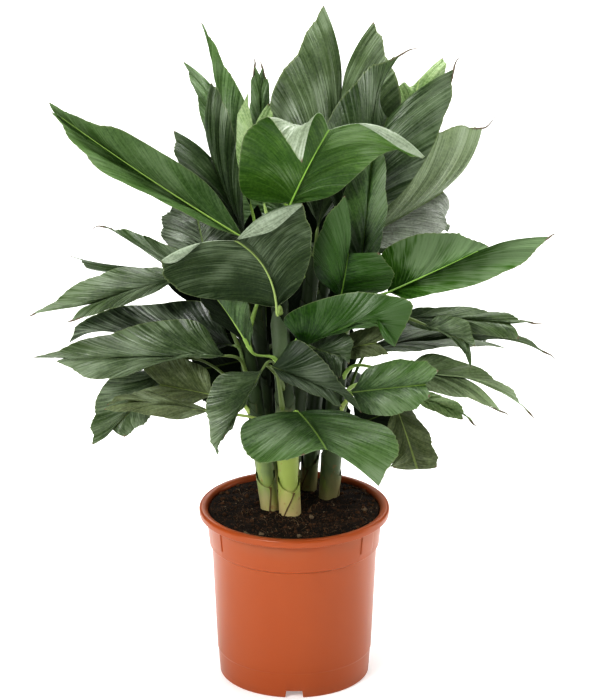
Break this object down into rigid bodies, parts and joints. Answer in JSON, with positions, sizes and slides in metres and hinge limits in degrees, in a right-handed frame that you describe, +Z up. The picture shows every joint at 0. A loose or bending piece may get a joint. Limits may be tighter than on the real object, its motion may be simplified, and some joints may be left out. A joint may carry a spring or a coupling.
{
  "type": "potted metallic palm",
  "caption": "Clump-forming parlour palm with broad pleated fishtail leaves on leaning canes, in a round terracotta-coloured nursery pot filled with soil.",
  "frame": {"origin": "middle of the pot's underside, on the surface that it stands on", "axes": "+Z up, front of the plant towards -Y, +X to its right as seen from the front"},
  "size_m": [0.5071, 0.3661, 0.66],
  "materials": {
    "pot": "semi-gloss moulded terracotta-coloured plastic",
    "soil": "loose dark peat with fibres, fully matt",
    "cane": "smooth green leaf sheaths with dry brown edges",
    "leaf_dark": "dark metallic green leaf with a satin sheen",
    "leaf_green": "mid-green leaf with a pale midrib and a satin sheen",
    "leaf_lime": "young yellow-green leaf with a satin sheen",
    "leaf_silver": "grey-green leaf with silvery streaks"
  },
  "bodies": {
    "root": {"pot": "pot", "soil": "soil", "cane_left": "cane", "cane_front": "cane", "cane_right": "cane", "cane_back_right": "cane", "cane_back_left": "cane", "cane_middle": "cane", "frond_crest": "leaf_green", "frond_summit": "leaf_silver", "frond_dark_horn": "leaf_dark", "frond_lime_top": "leaf_lime", "frond_silver_right": "leaf_silver", "frond_left_horn": "leaf_green", "frond_grey_horn": "leaf_dark", "frond_pale_strip": "leaf_lime", "frond_spear": "leaf_dark", "frond_long_left": "leaf_green", "frond_silver_left": "leaf_silver", "frond_thin_left": "leaf_silver", "frond_fishtail_left": "leaf_dark", "frond_front_left": "leaf_silver", "frond_half_hidden": "leaf_dark", "frond_dark_left": "leaf_dark", "frond_low_left": "leaf_dark", "frond_toothed": "leaf_dark", "frond_level_left": "leaf_dark", "frond_olive": "leaf_lime", "frond_hanging": "leaf_dark", "frond_front_spear": "leaf_dark", "frond_folded": "leaf_dark", "frond_apron": "leaf_green", "frond_heart": "leaf_green", "frond_heart_back": "leaf_dark", "frond_long_right": "leaf_green", "frond_veined_right": "leaf_green", "frond_level_right": "leaf_dark", "frond_drooping": "leaf_dark", "frond_under_right": "leaf_dark", "frond_pale_young": "leaf_lime", "frond_oval": "leaf_dark", "frond_fishtail_right": "leaf_green", "frond_lime_low": "leaf_lime", "frond_skirt": "leaf_dark", "frond_rear_top": "leaf_dark", "frond_inner_left": "leaf_dark", "frond_inner_mid": "leaf_green", "frond_inner_right": "leaf_dark", "frond_inner_low": "leaf_dark", "frond_inner_high": "leaf_green", "frond_shade_high": "leaf_dark", "frond_shade_low": "leaf_dark", "frond_young_back": "leaf_dark", "frond_rear_left": "leaf_dark", "frond_rear_right": "leaf_dark", "frond_rear_low_left": "leaf_dark", "frond_rear_low": "leaf_dark", "frond_rear_low_right": "leaf_dark", "frond_rear_hem_left": "leaf_dark", "frond_rear_hem_right": "leaf_dark"}
  },
  "joints": []
}
